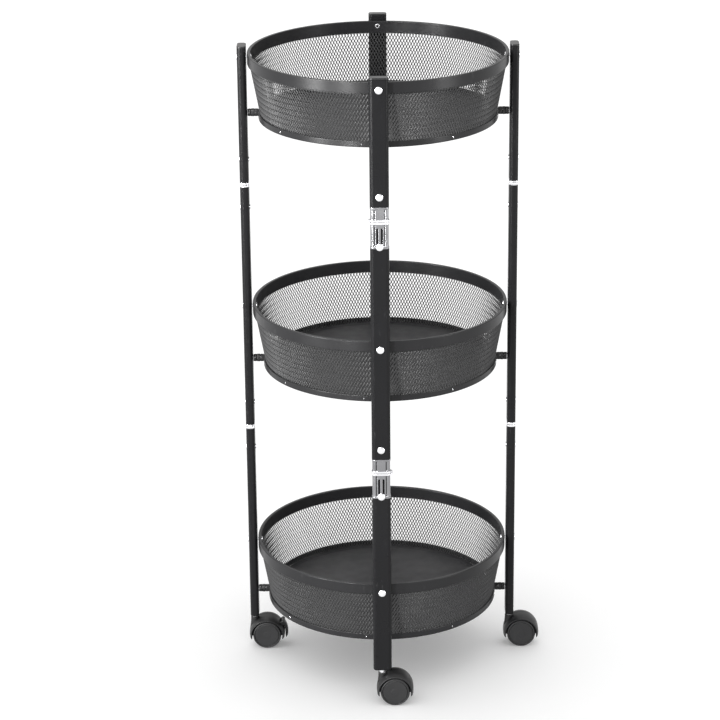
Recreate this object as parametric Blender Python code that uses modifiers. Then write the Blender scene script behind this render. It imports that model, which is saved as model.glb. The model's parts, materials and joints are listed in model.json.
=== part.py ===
"""Three-tier rolling utility cart: round mesh baskets on four folding posts.

Units are metres and +Z is up. The cart's own axis stands at CART_X, so that the box
around the whole cart, with its casters trailing towards +X, is centred on the origin.
"""

import math

import bmesh
import bpy
from mathutils import Matrix, Vector

MM = 0.001
GAP = 0.3 * MM                      # running gap between pieces that touch

# Heights above the floor
TIER_PITCH = 301.0 * MM             # rim rivet to rim rivet
RIVET_LOW = 142.0 * MM              # rim rivet of the bottom basket
TIERS = {"bottom": RIVET_LOW, "middle": RIVET_LOW + TIER_PITCH, "top": RIVET_LOW + 2 * TIER_PITCH}
POST_FOOT = 42.0 * MM               # lower end of the posts
POST_TOP = TIERS["top"] + 13.9 * MM
ARM = TIER_PITCH / 2                # rim rivet to the hinged joint of a post

# Baskets
RIM_R = 150.0 * MM
RIM_THICK = 1.8 * MM
RIM_BAND = 12.4 * MM
BASKET_HEIGHT = 77.0 * MM
BASE_R = 138.5 * MM
BASE_THICK = 1.5 * MM
BASE_BAND = 7.0 * MM
WALL_THICK = 1.0 * MM
FLOOR_THICK = 1.1 * MM
RIM_ROLL = 0.6 * MM                 # rounding of the rim's upper outer edge
FLOOR_R = BASE_R - BASE_THICK - WALL_THICK - 2 * GAP
ROUND_STEPS = 56

# Posts: flat-sided tube with rounded corners, its wide face turned outwards
TUBE_WIDE = 21.6 * MM
TUBE_DEEP = 10.4 * MM
TUBE_CORNER = 4.0 * MM
TUBE_WALL = 1.2 * MM
CORNER_STEPS = 3
POST_R = 156.4 * MM                 # cart axis to the middle of a tube
CAP_THICK = 2.2 * MM
CAP_PLUG = 9.0 * MM

# Hinged joint of a post: two plated fittings that meet face to face
LIP_HIGH = 2.6 * MM
LIP_PROUD = 0.35 * MM
FITTING_RIVET = 28.8 * MM           # joint face to the fitting's rivet
FITTING_NECK = 37.0 * MM            # joint face to the end of the fitting's neck
SHOWN_ABOVE = 17.4 * MM             # plated length left bare above the joint
SHOWN_BELOW = 31.3 * MM             # plated length left bare below the joint
HINGE_OUT = 12.0 * MM               # tube's middle to the hinge pin, sideways
KNUCKLE_R = 2.3 * MM
KNUCKLE_HALF = 1.5 * MM             # half the width of the middle knuckle
PIN_R = 1.0 * MM
PIN_STEPS = 8
KNUCKLE_STEPS = 7
STRAP_HIGH = 0.8                    # strap's height at the tube, in knuckle radii
SLOT_WIDE = 5.4 * MM
SLOT_DEEP = 1.2 * MM
SLOT_TOP = 6.5 * MM                 # joint face to the slot's upper end
SLOT_LOW = 24.0 * MM                # joint face to the slot's lower end
BEAD_R = 1.1 * MM                   # raised bead along the middle of the slot

# Rivets
SHANK_R = 2.0 * MM
HEAD_R = 3.9 * MM
HEAD_HIGH = 1.6 * MM
TAIL_R = 3.2 * MM
TAIL_HIGH = 0.9 * MM
RIVET_STEPS = 8

# Stand-offs that hold the base rings off the posts
STANDOFF_R = 4.85 * MM
STANDOFF_BITE = 0.6                 # how deep a stand-off runs into the ring, in ring thicknesses

# Casters
WHEEL_R = 17.3 * MM
WHEEL_IN = 2.8 * MM
WHEEL_OUT = 13.4 * MM
WHEEL_EDGE = 1.2 * MM
WHEEL_STEPS = 24
AXLE_R = 2.0 * MM
TRAIL = 14.6 * MM                   # stem axis to axle
HOOD_R = 21.8 * MM
HOOD_BORE = 18.8 * MM
HOOD_HALF = 14.0 * MM
HOOD_ROUND = 2.2 * MM
HOOD_STEPS = 14
BORE_STEPS = 18
WEB_HALF = 2.3 * MM
HOOD_DROOP = math.radians(15)       # how far the hood's ends run below the axle
BOSS_R = 5.3 * MM
BOSS_TOP = 38.9 * MM
BOSS_FOOT = WHEEL_R + 3 * MM
COLLAR_R = 3.8 * MM
STEM_R = 3.0 * MM
STEM_UP = 20.0 * MM                 # stem's length inside the post
STEM_STEPS = 12
SOCKET_UP = 23.0 * MM               # length of the socket that the stem stands in
LEVER_AT = math.radians(36)         # lever's pivot, seen from the axle
LEVER_PIVOT_R = HOOD_R + 2.6 * MM
LEVER_HALF = 4.6 * MM
LEVER_EAR = 2.4 * MM
LEVER_BARREL = 2.2 * MM
LEVER_IN = HOOD_R + 0.8 * MM        # tread's inner face, from the axle
LEVER_OUT = HOOD_R + 4.6 * MM
LEVER_LOW = math.radians(-14)       # tread's lower tip, seen from the axle
LEVER_TAPER = 0.08                  # angle over which the tread narrows to its tip
LEVER_STEPS = 10
EAR_BITE = 1.2 * MM                 # how deep an ear runs into the hood
EAR_HIGH = 0.8                      # ear's half height at the hood, in barrel radii

CART_X = -(HOOD_R + TRAIL - TUBE_DEEP / 2 - HEAD_HIGH) / 2

POSTS = {"right": 0, "back": 90, "left": 180, "front": 270}
OPEN_POSTS = ("front", "back")      # posts whose joints show their plated fittings
BRAKED = ("left", "back")

COLOURS = {
    "black powder coat": ((0.022, 0.022, 0.024), 0.42, 0.0),
    "black plastic": ((0.030, 0.030, 0.032), 0.50, 0.0),
    "bright plating": ((0.80, 0.80, 0.82), 0.16, 1.0),
}


def clear_scene():
    for item in list(bpy.data.objects):
        bpy.data.objects.remove(item, do_unlink=True)


def make_material(name, colour, roughness, metallic):
    made = bpy.data.materials.new(name)
    made.use_nodes = True
    shader = made.node_tree.nodes["Principled BSDF"]
    shader.inputs["Base Color"].default_value = (*colour, 1.0)
    shader.inputs["Roughness"].default_value = roughness
    shader.inputs["Metallic"].default_value = metallic
    return made


def new_object(name, data):
    made = bpy.data.objects.new(name, data)
    bench.objects.link(made)
    return made


def settled(work):
    """The object's finished mesh, with its own matrix carried in."""
    bpy.context.view_layer.update()
    seen = work.evaluated_get(bpy.context.evaluated_depsgraph_get())
    mesh = bpy.data.meshes.new_from_object(seen)
    mesh.transform(work.matrix_world)
    tidy = bmesh.new()
    tidy.from_mesh(mesh)
    bmesh.ops.remove_doubles(tidy, verts=tidy.verts, dist=1e-5)
    bmesh.ops.recalc_face_normals(tidy, faces=tidy.faces)
    tidy.to_mesh(mesh)
    tidy.free()
    bpy.data.objects.remove(work, do_unlink=True)
    return mesh


def arc(radius, start, stop, steps, centre=(0.0, 0.0)):
    return [(centre[0] + radius * math.cos(start + (stop - start) * i / steps),
             centre[1] + radius * math.sin(start + (stop - start) * i / steps))
            for i in range(steps + 1)]


def rounded_box(deep, wide, corner, steps=CORNER_STEPS):
    """Outline of a box with round corners: `deep` along X and `wide` along Y."""
    points = []
    for quarter, (sx, sy) in enumerate(((1, 1), (-1, 1), (-1, -1), (1, -1))):
        centre = (sx * (deep / 2 - corner), sy * (wide / 2 - corner))
        points += arc(corner, quarter * math.pi / 2, (quarter + 1) * math.pi / 2, steps, centre)
    return points


def prism(outlines, low, high):
    """A solid with the given outline, and holes where further outlines lie inside it."""
    curve = bpy.data.curves.new("outline", "CURVE")
    curve.dimensions = "2D"
    curve.fill_mode = "BOTH"
    curve.extrude = (high - low) / 2
    for outline in outlines:
        spline = curve.splines.new("POLY")
        spline.points.add(len(outline) - 1)
        for point, (x, y) in zip(spline.points, outline):
            point.co = (x, y, 0.0, 1.0)
        spline.use_cyclic_u = True
    work = new_object("prism", curve)
    work.location.z = (low + high) / 2
    return settled(work)


def turned(profile, steps):
    """A solid of revolution about Z from (radius, height) points, listed top to bottom."""
    mesh = bpy.data.meshes.new("profile")
    mesh.from_pydata([(r, 0.0, z) for r, z in profile],
                     [(i, i + 1) for i in range(len(profile) - 1)], [])
    work = new_object("turned", mesh)
    screw = work.modifiers.new("turn", "SCREW")
    screw.axis = "Z"
    screw.steps = screw.render_steps = steps
    screw.use_merge_vertices = True
    screw.merge_threshold = 1e-5
    return settled(work)


def ring(profile, steps=ROUND_STEPS):
    return turned(profile + profile[:1], steps)


def moved(mesh, *steps):
    for step in steps:
        mesh.transform(step)
    return mesh


def combine(base, other, operation):
    """Boolean of two meshes, both used up."""
    work, tool = new_object("base", base), new_object("tool", other)
    cutters.objects.link(tool)
    bench.objects.unlink(tool)
    change = work.modifiers.new("change", "BOOLEAN")
    change.operation = operation
    change.solver = "EXACT"
    change.object = tool
    mesh = settled(work)
    bpy.data.objects.remove(tool, do_unlink=True)
    return mesh


def joined(base, *others):
    for other in others:
        base = combine(base, other, "UNION")
    return base


def cut(base, *others):
    for other in others:
        base = combine(base, other, "DIFFERENCE")
    return base


def along_x(mesh, at=(0.0, 0.0, 0.0)):
    """Turns a piece made about Z so that its top points along +X."""
    return moved(mesh, Matrix.Rotation(math.pi / 2, 4, "Y"), Matrix.Translation(at))


def along_y(mesh, at=(0.0, 0.0, 0.0)):
    return moved(mesh, Matrix.Rotation(-math.pi / 2, 4, "X"), Matrix.Translation(at))


def rod(radius, low, high, steps=RIVET_STEPS):
    return turned([(0.0, high), (radius, high), (radius, low), (0.0, low)], steps)


def rivet(outer, inner):
    """A rivet along X: domed head standing on `outer`, formed tail under `inner`."""
    dome = [(HEAD_R * math.sin(a), outer + HEAD_HIGH * math.cos(a))
            for a in (0.0, math.radians(40), math.radians(90))]
    tail = [(TAIL_R, inner), (TAIL_R * 0.6, inner - TAIL_HIGH), (0.0, inner - TAIL_HIGH)]
    return along_x(turned(dome + [(SHANK_R, outer), (SHANK_R, inner)] + tail, RIVET_STEPS))


def rivet_hole(at):
    reach = TUBE_DEEP
    return along_x(rod(SHANK_R + GAP, -reach, reach), (0.0, 0.0, at))


def tube(low, high, holes):
    """A length of post tube; heights and rivet holes are counted from its rim rivet."""
    inner = rounded_box(TUBE_DEEP - 2 * TUBE_WALL, TUBE_WIDE - 2 * TUBE_WALL,
                        TUBE_CORNER - TUBE_WALL)
    outer = rounded_box(TUBE_DEEP, TUBE_WIDE, TUBE_CORNER)
    return cut(prism([outer, inner], low, high), *[rivet_hole(at) for at in holes])


def fitting(side, above, bare):
    """A plated fitting, its joint face at height 0, built for the end above the joint.

    `side` is where its hinge stands, `above` is False for the half that is turned over
    to stand below the joint, and `bare` is the length that its tube leaves uncovered.
    """
    neck = rounded_box(TUBE_DEEP - 2 * (TUBE_WALL + GAP), TUBE_WIDE - 2 * (TUBE_WALL + GAP),
                       TUBE_CORNER - TUBE_WALL - GAP, 2)
    lip = rounded_box(TUBE_DEEP + 2 * LIP_PROUD, TUBE_WIDE + 2 * LIP_PROUD, TUBE_CORNER, 2)
    face = GAP / 2
    made = joined(prism([lip], face, LIP_HIGH), prism([neck], LIP_HIGH / 2, FITTING_NECK))
    if bare > LIP_HIGH:
        body = rounded_box(TUBE_DEEP, TUBE_WIDE, TUBE_CORNER)
        made = joined(made, prism([body], LIP_HIGH / 2, bare - GAP))
    if bare > SLOT_LOW:
        slot = [(TUBE_DEEP / 2 - SLOT_DEEP, TUBE_DEEP), (-SLOT_WIDE / 2, SLOT_WIDE / 2)]
        made = cut(made, box(slot[0], slot[1], (SLOT_TOP, SLOT_LOW)))
        floor = TUBE_DEEP / 2 - SLOT_DEEP
        made = joined(made, moved(rod(BEAD_R, SLOT_TOP - MM, SLOT_LOW + MM),
                                  Matrix.Translation((floor, 0.0, 0.0))))
    pin = rivet(TUBE_DEEP / 2 + GAP / 2, -TUBE_DEEP / 2 - GAP / 2)
    made = joined(made, moved(pin, Matrix.Translation((0.0, 0.0, FITTING_RIVET))))
    return hinged(made, side, above)


def box(across, wide, high):
    corners = [(across[0], wide[0]), (across[1], wide[0]), (across[1], wide[1]),
               (across[0], wide[1])]
    return prism([corners], *high)


def knuckle(side, span):
    """A knuckle and the strap that carries it from inside the lip, as one outline."""
    root = TUBE_WIDE / 2 - TUBE_CORNER / 2
    around = arc(KNUCKLE_R, -math.pi, math.pi / 2, KNUCKLE_STEPS, (HINGE_OUT, 0.0))
    outline = around + [(root, KNUCKLE_R * STRAP_HIGH), (root, GAP)]
    return moved(prism([outline], *span), Matrix.Scale(side, 4, (1, 0, 0)),
                 Matrix(((0, 0, 1, 0), (1, 0, 0, 0), (0, 1, 0, 0), (0, 0, 0, 1))))


def hinged(made, side, above):
    """Gives a fitting its knuckles: the middle one above the joint, the outer two below."""
    reach = TUBE_DEEP / 2 - GAP
    inner, outer = KNUCKLE_HALF, KNUCKLE_HALF + GAP
    own, theirs = [(-reach, -outer), (outer, reach)], [(-outer, outer)]
    if above:
        own, theirs = [(-inner, inner)], [(-reach - MM, -inner), (inner, reach + MM)]
    hinge = (0.0, side * HINGE_OUT, 0.0)
    made = cut(made, *[along_x(rod(KNUCKLE_R + GAP, *span), hinge) for span in theirs])
    made = joined(made, *[knuckle(side, span) for span in own])
    if above:
        return cut(made, along_x(rod(PIN_R + GAP, -2 * inner, 2 * inner, PIN_STEPS), hinge))
    return joined(made, along_x(rod(PIN_R, -reach - GAP, reach + GAP, PIN_STEPS), hinge))


def turned_over(mesh):
    """Turns a piece upside down about X, so that its outer face stays outwards."""
    return moved(mesh, Matrix.Rotation(math.pi, 4, "X"))


def cap():
    plug = rounded_box(TUBE_DEEP - 2 * (TUBE_WALL + GAP), TUBE_WIDE - 2 * (TUBE_WALL + GAP),
                       TUBE_CORNER - TUBE_WALL - GAP)
    outer = rounded_box(TUBE_DEEP, TUBE_WIDE, TUBE_CORNER)
    return joined(prism([outer], -CAP_THICK, 0.0),
                  prism([plug], -CAP_THICK - CAP_PLUG, -CAP_THICK / 2))


def rim(height):
    """A basket's rim band, with the four rivets that the posts turn on."""
    top, low = height + RIM_BAND / 2, height - RIM_BAND / 2
    made = ring([(RIM_R - RIM_THICK, top), (RIM_R - RIM_ROLL, top), (RIM_R, top - RIM_ROLL),
                 (RIM_R, low), (RIM_R - RIM_THICK, low)])
    outer = POST_R + TUBE_DEEP / 2 + GAP
    for angle in POSTS.values():
        pin = moved(rivet(outer, RIM_R - RIM_THICK + 0.1 * MM),
                    Matrix.Translation((0.0, 0.0, height)),
                    Matrix.Rotation(math.radians(angle), 4, "Z"))
        made = joined(made, pin)
    return made


def wall(height):
    """The basket's tapered wall, as the closed shell that its mesh lies in."""
    bottom = height + RIM_BAND / 2 - BASKET_HEIGHT
    top_r, low_r = RIM_R - RIM_THICK - GAP, BASE_R - BASE_THICK - GAP
    top, low = height - TAIL_R - GAP, bottom + GAP
    outer = [(top_r, top), (low_r, bottom + BASE_BAND), (low_r, low)]
    return ring(outer + [(r - WALL_THICK, z) for r, z in reversed(outer)])


def base_ring(height):
    """The ring round the basket's floor, with a stand-off towards each post."""
    low = height + RIM_BAND / 2 - BASKET_HEIGHT
    made = ring([(BASE_R - BASE_THICK, low + BASE_BAND), (BASE_R, low + BASE_BAND),
                 (BASE_R, low), (BASE_R - BASE_THICK, low)])
    start, stop = BASE_R - BASE_THICK * STANDOFF_BITE, POST_R - TUBE_DEEP / 2 - GAP
    for angle in POSTS.values():
        peg = along_x(rod(STANDOFF_R, start, stop), (0.0, 0.0, low + STANDOFF_R))
        made = joined(made, moved(peg, Matrix.Rotation(math.radians(angle), 4, "Z")))
    return made


def floor_plate(height):
    low = height + RIM_BAND / 2 - BASKET_HEIGHT + GAP
    return rod(FLOOR_R, low, low + FLOOR_THICK, ROUND_STEPS)


def caster_hood(braked):
    """A caster's hood and stem, made about the stem with its axle towards +X."""
    outline = arc(HOOD_R, -HOOD_DROOP, math.pi + HOOD_DROOP, HOOD_STEPS)
    half = prism([outline], -HOOD_HALF, HOOD_HALF)
    work = new_object("hood", half)
    edge = work.modifiers.new("edge", "BEVEL")
    edge.width = HOOD_ROUND
    edge.segments = 1
    edge.angle_limit = math.radians(60)
    half = moved(settled(work), Matrix.Rotation(math.pi / 2, 4, "X"),
                 Matrix.Translation((TRAIL, 0.0, WHEEL_R)))
    axle = (TRAIL, 0.0, WHEEL_R)
    boss = rod(BOSS_R, BOSS_FOOT, BOSS_TOP, HOOD_STEPS)
    wells = [along_y(rod(HOOD_BORE, *sorted((side * WEB_HALF, side * 2 * HOOD_HALF)), BORE_STEPS),
                     axle) for side in (1, -1)]
    made = cut(joined(half, boss), *wells)
    made = cut(made, along_y(rod(AXLE_R + GAP, -HOOD_HALF, HOOD_HALF), axle))
    stem = turned([(0.0, POST_FOOT + STEM_UP), (STEM_R, POST_FOOT + STEM_UP),
                   (STEM_R, POST_FOOT - GAP), (COLLAR_R, POST_FOOT - GAP),
                   (COLLAR_R, BOSS_TOP - MM), (0.0, BOSS_TOP - MM)], STEM_STEPS)
    made = joined(made, stem)
    if braked:
        for side in (-1, 1):
            ear = sorted((side * (LEVER_HALF + GAP), side * (LEVER_HALF + GAP + LEVER_EAR)))
            made = joined(made, along_y(rod(LEVER_BARREL, *ear), lever_pivot()),
                          ear_root(ear))
        made = cut(made, along_y(rod(PIN_R + GAP, -HOOD_HALF, HOOD_HALF), lever_pivot()))
    return made


def lever_pivot():
    return (TRAIL + LEVER_PIVOT_R * math.cos(LEVER_AT), 0.0,
            WHEEL_R + LEVER_PIVOT_R * math.sin(LEVER_AT))


def ear_root(span):
    """The web that carries a lever ear on the hood's shell."""
    depth = (HOOD_R - EAR_BITE, LEVER_PIVOT_R)
    high = (-LEVER_BARREL * EAR_HIGH, LEVER_BARREL * EAR_HIGH)
    return moved(box(depth, high, span), Matrix.Rotation(math.pi / 2, 4, "X"),
                 Matrix.Scale(-1, 4, (0, 1, 0)), Matrix.Rotation(-LEVER_AT, 4, "Y"),
                 Matrix.Translation((TRAIL, 0.0, WHEEL_R)))


def brake_lever():
    """The tread that swings on the hood's ears, made about its own pivot."""
    tip = 0.5 * (LEVER_IN + LEVER_OUT)
    end = LEVER_LOW + LEVER_TAPER
    outline = (arc(LEVER_OUT, LEVER_AT, end, LEVER_STEPS)
               + [(tip * math.cos(LEVER_LOW), tip * math.sin(LEVER_LOW))]
               + arc(LEVER_IN, end, LEVER_AT, LEVER_STEPS))
    tread = moved(prism([outline], -LEVER_HALF, LEVER_HALF), Matrix.Rotation(math.pi / 2, 4, "X"),
                  Matrix.Translation(Vector((TRAIL, 0.0, WHEEL_R)) - Vector(lever_pivot())))
    barrel = along_y(rod(LEVER_BARREL, -LEVER_HALF, LEVER_HALF))
    reach = LEVER_HALF + GAP + LEVER_EAR
    return joined(tread, barrel, along_y(rod(PIN_R, -reach, reach)))


def wheel_pair():
    """Both wheels of a caster and the axle between them, made about the axle."""
    half = [(0.0, WHEEL_OUT), (WHEEL_R - WHEEL_EDGE, WHEEL_OUT), (WHEEL_R, WHEEL_OUT - WHEEL_EDGE),
            (WHEEL_R, WHEEL_IN), (AXLE_R, WHEEL_IN)]
    return along_y(turned(half + [(r, -z) for r, z in reversed(half)], WHEEL_STEPS))


def place(name, mesh, look, at=(0.0, 0.0, 0.0), turn=0.0):
    """Puts a mesh, made about its own origin, in the cart's frame."""
    mesh = mesh.copy()
    mesh.name = name
    mesh.materials.clear()
    mesh.materials.append(materials[look])
    made = bpy.data.objects.new(name, mesh)
    made.location = Vector(at) + Vector((CART_X, 0.0, 0.0))
    made.rotation_euler.z = turn
    cart.objects.link(made)
    smooth_rounds(mesh)
    return made


def smooth_rounds(mesh, limit=math.radians(32)):
    """Smooth shading, with an edge kept sharp where its two faces turn by more than this."""
    work = bmesh.new()
    work.from_mesh(mesh)
    for face in work.faces:
        face.smooth = True
    for edge in work.edges:
        edge.smooth = len(edge.link_faces) == 2 and edge.calc_face_angle(0.0) < limit
    work.to_mesh(mesh)
    work.free()


def build_baskets():
    for tier, height in TIERS.items():
        place(f"{tier}_rim", rim(height), "black powder coat")
        place(f"{tier}_mesh_wall", wall(height), "black powder coat")
        place(f"{tier}_base_ring", base_ring(height), "black powder coat")
        place(f"{tier}_floor", floor_plate(height), "black powder coat")


def build_posts():
    foot = POST_FOOT - RIVET_LOW
    socket = rounded_box(TUBE_DEEP - TUBE_WALL, TUBE_WIDE - TUBE_WALL, TUBE_CORNER - TUBE_WALL / 2)
    for post, angle in POSTS.items():
        turn = math.radians(angle)
        out = Vector((math.cos(turn), math.sin(turn), 0.0))
        shown = post in OPEN_POSTS
        above, below = (SHOWN_ABOVE, SHOWN_BELOW) if shown else (LIP_HIGH, LIP_HIGH)
        clear = 0.0 if shown else GAP
        up_end, down_end = ARM - below - clear, above + clear - ARM
        riveted = ARM - FITTING_RIVET
        upper_holes = [riveted] if up_end > riveted else []

        base = tube(foot, up_end, [0.0] + upper_holes)
        base = joined(base, prism([socket], foot, foot + SOCKET_UP))
        base = cut(base, rod(STEM_R + GAP, foot - MM, foot + STEM_UP + GAP, STEM_STEPS))
        middle = tube(down_end, up_end, [0.0, -riveted] + upper_holes)
        top = tube(down_end, POST_TOP - CAP_THICK - GAP - TIERS["top"], [0.0, -riveted])
        for tier, mesh, name in (("bottom", base, "base_leg"), ("middle", middle, "middle_leg"),
                                 ("top", top, "top_leg")):
            place(f"{post}_{name}", mesh, "black powder coat",
                  out * POST_R + Vector((0.0, 0.0, TIERS[tier])), turn)
        place(f"{post}_cap", cap(), "black plastic",
              out * POST_R + Vector((0.0, 0.0, POST_TOP)), turn)
        for joint, tier, side in (("lower", "bottom", 1), ("upper", "middle", -1)):
            at = out * POST_R + Vector((0.0, 0.0, TIERS[tier] + ARM))
            place(f"{post}_{joint}_joint_top", fitting(side, True, above), "bright plating", at, turn)
            place(f"{post}_{joint}_joint_bottom", turned_over(fitting(-side, False, below)),
                  "bright plating", at, turn)


def build_casters():
    for post, angle in POSTS.items():
        turn = math.radians(angle)
        stem = Vector((POST_R * math.cos(turn), POST_R * math.sin(turn), 0.0))
        braked = post in BRAKED
        place(f"{post}_caster_hood", caster_hood(braked), "black plastic", stem)
        place(f"{post}_caster_wheels", wheel_pair(), "black plastic",
              stem + Vector((TRAIL, 0.0, WHEEL_R)))
        if braked:
            place(f"{post}_brake_lever", brake_lever(), "black plastic",
                  stem + Vector(lever_pivot()))


clear_scene()
cart = bpy.data.collections.new("rolling utility cart")
bench = bpy.data.collections.new("workbench")
cutters = bpy.data.collections.new("cutters")
for collection in (cart, bench, cutters):
    bpy.context.scene.collection.children.link(collection)
materials = {name: make_material(name, *look) for name, look in COLOURS.items()}
build_baskets()
build_posts()
build_casters()
for collection in (bench, cutters):
    bpy.data.collections.remove(collection)
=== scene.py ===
"""Round three-tier rolling cart: the made pieces and finishes that go on its frame."""

import json
import math

import bpy
import numpy as np
from mathutils import Matrix, Vector

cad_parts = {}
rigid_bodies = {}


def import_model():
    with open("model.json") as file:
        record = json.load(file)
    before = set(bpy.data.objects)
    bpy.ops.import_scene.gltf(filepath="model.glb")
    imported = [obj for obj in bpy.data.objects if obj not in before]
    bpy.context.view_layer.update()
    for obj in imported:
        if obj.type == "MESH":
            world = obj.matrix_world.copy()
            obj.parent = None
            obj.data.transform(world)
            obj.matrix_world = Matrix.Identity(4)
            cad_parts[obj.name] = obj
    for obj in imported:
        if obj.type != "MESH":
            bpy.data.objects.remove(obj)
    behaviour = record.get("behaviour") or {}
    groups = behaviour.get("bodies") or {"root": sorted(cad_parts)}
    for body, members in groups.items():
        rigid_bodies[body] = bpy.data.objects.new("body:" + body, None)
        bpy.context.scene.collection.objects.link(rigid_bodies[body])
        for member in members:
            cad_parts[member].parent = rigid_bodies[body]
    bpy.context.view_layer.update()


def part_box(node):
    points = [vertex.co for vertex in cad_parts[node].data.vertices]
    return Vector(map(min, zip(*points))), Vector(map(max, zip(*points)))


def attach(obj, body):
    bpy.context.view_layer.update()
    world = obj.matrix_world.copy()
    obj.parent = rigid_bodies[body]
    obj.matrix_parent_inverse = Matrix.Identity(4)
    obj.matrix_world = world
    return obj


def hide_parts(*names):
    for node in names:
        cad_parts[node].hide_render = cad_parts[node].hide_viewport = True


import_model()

MM = 0.001
GAP = 0.3 * MM
ON_AXIS = 1e-5                      # radius of the last ring before a fan closes a shape

# Cart and tiers
FLOOR_LOW, FLOOR_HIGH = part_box("bottom_floor")
CART_X = (FLOOR_LOW.x + FLOOR_HIGH.x) / 2
TIERS = ("bottom", "middle", "top")
RIM_TOP = {tier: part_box(f"{tier}_rim")[1].z for tier in TIERS}
RIM_R = 150.0 * MM
RIM_THICK = 1.8 * MM
RIM_BAND = 12.4 * MM
RIM_HEM = 146.2 * MM                # inner face of the hem
HEM_DROP = 2.2 * MM                 # how far the hem runs on below the band
RIM_SHEET = 0.8 * MM
RIM_FOLD = 1.6 * MM                 # depth of the fold along the rim's top
BASKET_HEIGHT = 77.0 * MM
BASE_R = 138.5 * MM
BASE_THICK = 1.5 * MM
BASE_BAND = 7.0 * MM
FLOOR_R = (FLOOR_HIGH.x - FLOOR_LOW.x) / 2
FLOOR_TOP = 1.4 * MM
FLOOR_EDGE = 6.0 * MM               # width of the flat edge outside the floor's pressed step
FLOOR_STEP = 0.35 * MM
RING_STEPS = 240
PIP_COUNT = 8                       # pressed pips round a base ring
PIP_STEP = 2 * math.pi / PIP_COUNT
PIP_START = math.radians(-8)
PIP_WIDE, PIP_TALL = 0.45 * MM, 1.3 * MM
PIP_SUNK, PIP_RISE = 0.3 * MM, 0.65 * MM

# Expanded mesh of the walls
MESH_ROUND = 246                    # diamonds round a wall
MESH_HIGH = 6.7 * MM                # one diamond, corner to corner, up the wall
STRAND_HALF = 0.5 * MM
STRAND_TILT = math.radians(35)      # turn of a strand's flat out of the wall
STRAND_THICK = 0.21 * MM
STRAND_LIFT = 0.2 * MM              # how far a strand rises over the one it crosses
STRAND_SWELL = 0.22                 # how much wider a strand is where it crosses another
WALL_MID = 0.5 * MM
WALL_LOW = 0.5 * MM
WALL_TOP = 3.5 * MM                 # how far the wall stops below the rim band's middle

# Stand-offs between the base rings and the posts
STANDOFF_UP = 4.85 * MM
STANDOFF_R, STANDOFF_SWELL = 4.35 * MM, 0.35 * MM
STANDOFF_GROOVES = (0.36, 0.72)     # places along a stand-off, from its ring end
GROOVE_DEEP, GROOVE_WIDE = 0.45 * MM, 0.03
WASHER_R, WASHER_THICK = 3.9 * MM, 0.9 * MM

# Posts
POSTS = {"right": 0, "back": 90, "left": 180, "front": 270}
OPEN_POSTS = ("front", "back")
POST_R = 156.4 * MM
TUBE = (10.4 * MM, 21.6 * MM, 4.0 * MM)
TUBE_WALL = 1.2 * MM
TUBE_END = 0.4 * MM
FOOT_ROUND = 1.5 * MM
LIP_HIGH = 2.6 * MM
LIP_PROUD = 0.35 * MM
BODY_SHY = 0.5 * MM                 # how far a fitting's body stands back from the tube
SHOWN_ABOVE = 17.4 * MM
SHOWN_BELOW = 31.3 * MM
FITTING_RIVET = 28.8 * MM
FITTING_NECK = 37.0 * MM
HINGE_OUT = 12.0 * MM
CUT_DEEP = 0.7 * MM                 # a cut this deep is painted fully dark, as painted shade in the cut
SHOULDER = 2.6 * MM                 # height of the full-width end of a fitting's body
SHOULDER_TOP = 2.3 * MM
FACE_GROOVE = 5.7 * MM              # how far a fitting's long grooves lie from its middle
FACE_GROOVE_HALF = 0.75 * MM
SLOT_HALF, SLOT_DEEP = 3.5 * MM, 1.1 * MM
SLOT_LOW, SLOT_HIGH = 9.0 * MM, 25.5 * MM
SLOT_ROUND = 4.2 * MM
BEAD_HALF, BEAD_SHARE = 1.75 * MM, 0.95
KNUCKLE_R = 1.25 * MM
KNUCKLE_HALF = 1.5 * MM             # half the length of a joint's middle knuckle
KNUCKLE_ROOM = 0.3 * MM
STRAP_IN = 10.0 * MM                # where a knuckle's strap leaves the fitting
STRAP_HIGH, STRAP_LOW = 2.3 * MM, 1.55 * MM
HINGE_PIN_R = 0.9 * MM
CAP_HEAD, CAP_DEEP, CAP_SHY = 2.2 * MM, 11.0 * MM, 1.5 * MM
TOP_TUBE_SHORT = 2.5 * MM           # how far a top tube ends below its cap's top
PLUG_DEEP = 20.0 * MM

# Rivets
HEAD_R = 4.3 * MM
HEAD_HIGH = 1.55 * MM
SHANK_R = 2.0 * MM
TAIL_R = 3.1 * MM
TAIL_HIGH = 0.9 * MM
TAIL_BORE = 1.2 * MM
HEAD_FULL = 0.8                     # power that fills out a head's dome
HEAD_DISH, HEAD_DISH_R = 0.16 * MM, 1.1 * MM
HEAD_SUNK = 0.12 * MM

# Casters
WHEEL_R = 17.3 * MM
WHEEL_IN = 2.8 * MM
WHEEL_OUT = 13.4 * MM
TRAIL = 14.6 * MM
HOOD_R = 21.8 * MM
HOOD_BORE = 18.8 * MM
HOOD_HALF = 14.0 * MM
HOOD_DROOP = math.radians(15)
POST_FOOT = 42.0 * MM
BOSS_TOP = 38.9 * MM
LEVER_AT = math.radians(36)
LEVER_LOW = math.radians(-14)
LEVER_PIVOT_R = HOOD_R + 2.6 * MM
LEVER_HALF = 4.6 * MM
LEVER_MID = 2.7 * MM                # how far the tread stands outside the hood
LEVER_BARREL_R, LEVER_PIN_R = 2.2 * MM, 1.0 * MM
EAR_THICK = 2.4 * MM
HOOD_CROWN = 9.0 * MM               # half the width of the hood's crowned part
WEB_HALF = 2.3 * MM                 # half the web between the wheels
BOSS_R, BOSS_FOOT_R = 5.1 * MM, 6.4 * MM
COLLAR_R, STEM_R, STEM_HIGH = 4.2 * MM, 2.9 * MM, 19.0 * MM
AXLE_R = 2.0 * MM
HUB_R = 4.2 * MM
RIM_GROOVE = 2.3 * MM               # how far the groove on a wheel's side lies inside its edge
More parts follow.
